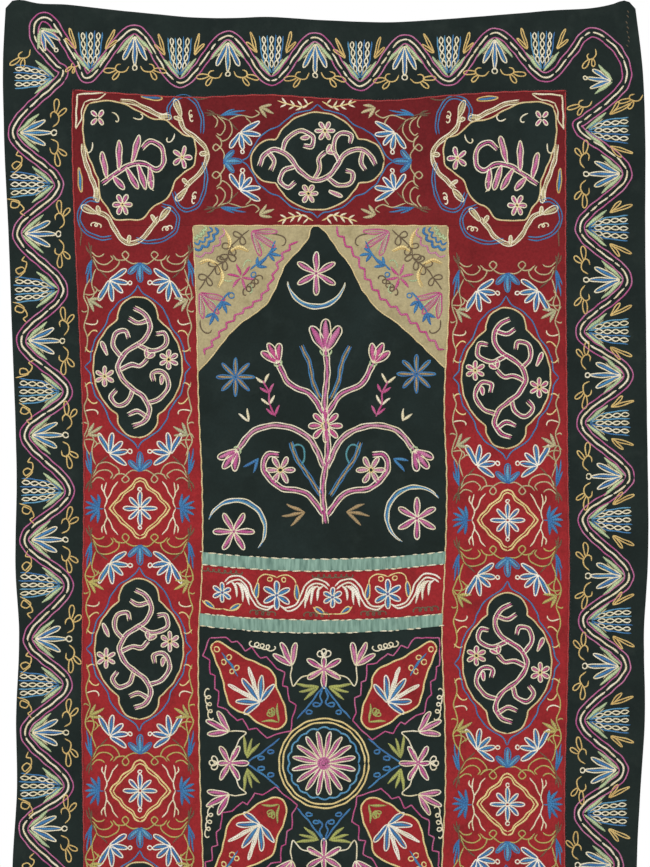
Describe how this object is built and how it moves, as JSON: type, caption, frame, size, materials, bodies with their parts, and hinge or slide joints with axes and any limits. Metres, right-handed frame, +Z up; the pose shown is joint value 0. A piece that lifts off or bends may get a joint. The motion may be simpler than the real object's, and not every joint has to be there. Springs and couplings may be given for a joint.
{
  "type": "embroidered wall hanging",
  "caption": "Pieced wool wall hanging with an arched niche, a red band, a dark border and chain-stitch embroidery, hanging from its top edge.",
  "frame": {"origin": "middle of the top edge, where a wall or rail would hold it", "axes": "+Z up along the length, -Y the way the embroidered face looks, +X to the right as seen from the front"},
  "size_m": [1.1095, 0.0153, 2.2093],
  "materials": {
    "dark_wool": "matt felted wool",
    "red_wool": "matt felted wool",
    "beige_wool": "matt felted wool",
    "green_silk": "pleated silk ribbon with a soft shine",
    "embroidery_thread": "twisted silk and cotton thread in several colours"
  },
  "bodies": {
    "root": {"border_left": "dark_wool", "border_right": "dark_wool", "border_top": "dark_wool", "border_bottom": "dark_wool", "niche_field": "dark_wool", "medallion_panel": "dark_wool", "foot_panel": "dark_wool", "ground_top": "dark_wool", "ground_bottom": "dark_wool", "ground_left_upper": "dark_wool", "ground_left_middle": "dark_wool", "ground_left_lower": "dark_wool", "ground_right_upper": "dark_wool", "ground_right_middle": "dark_wool", "ground_right_lower": "dark_wool", "ground_corner_top_left": "dark_wool", "ground_corner_top_right": "dark_wool", "ground_corner_bottom_left": "dark_wool", "ground_corner_bottom_right": "dark_wool", "band_left": "red_wool", "band_right": "red_wool", "band_top": "red_wool", "band_bottom": "red_wool", "strip_niche": "red_wool", "strip_foot": "red_wool", "leaf_top_left": "red_wool", "leaf_top_right": "red_wool", "leaf_bottom_left": "red_wool", "leaf_bottom_right": "red_wool", "spandrel_left": "beige_wool", "spandrel_right": "beige_wool", "ribbon_niche_upper": "green_silk", "ribbon_niche_lower": "green_silk", "ribbon_foot_upper": "green_silk", "ribbon_foot_lower": "green_silk"}
  },
  "joints": []
}
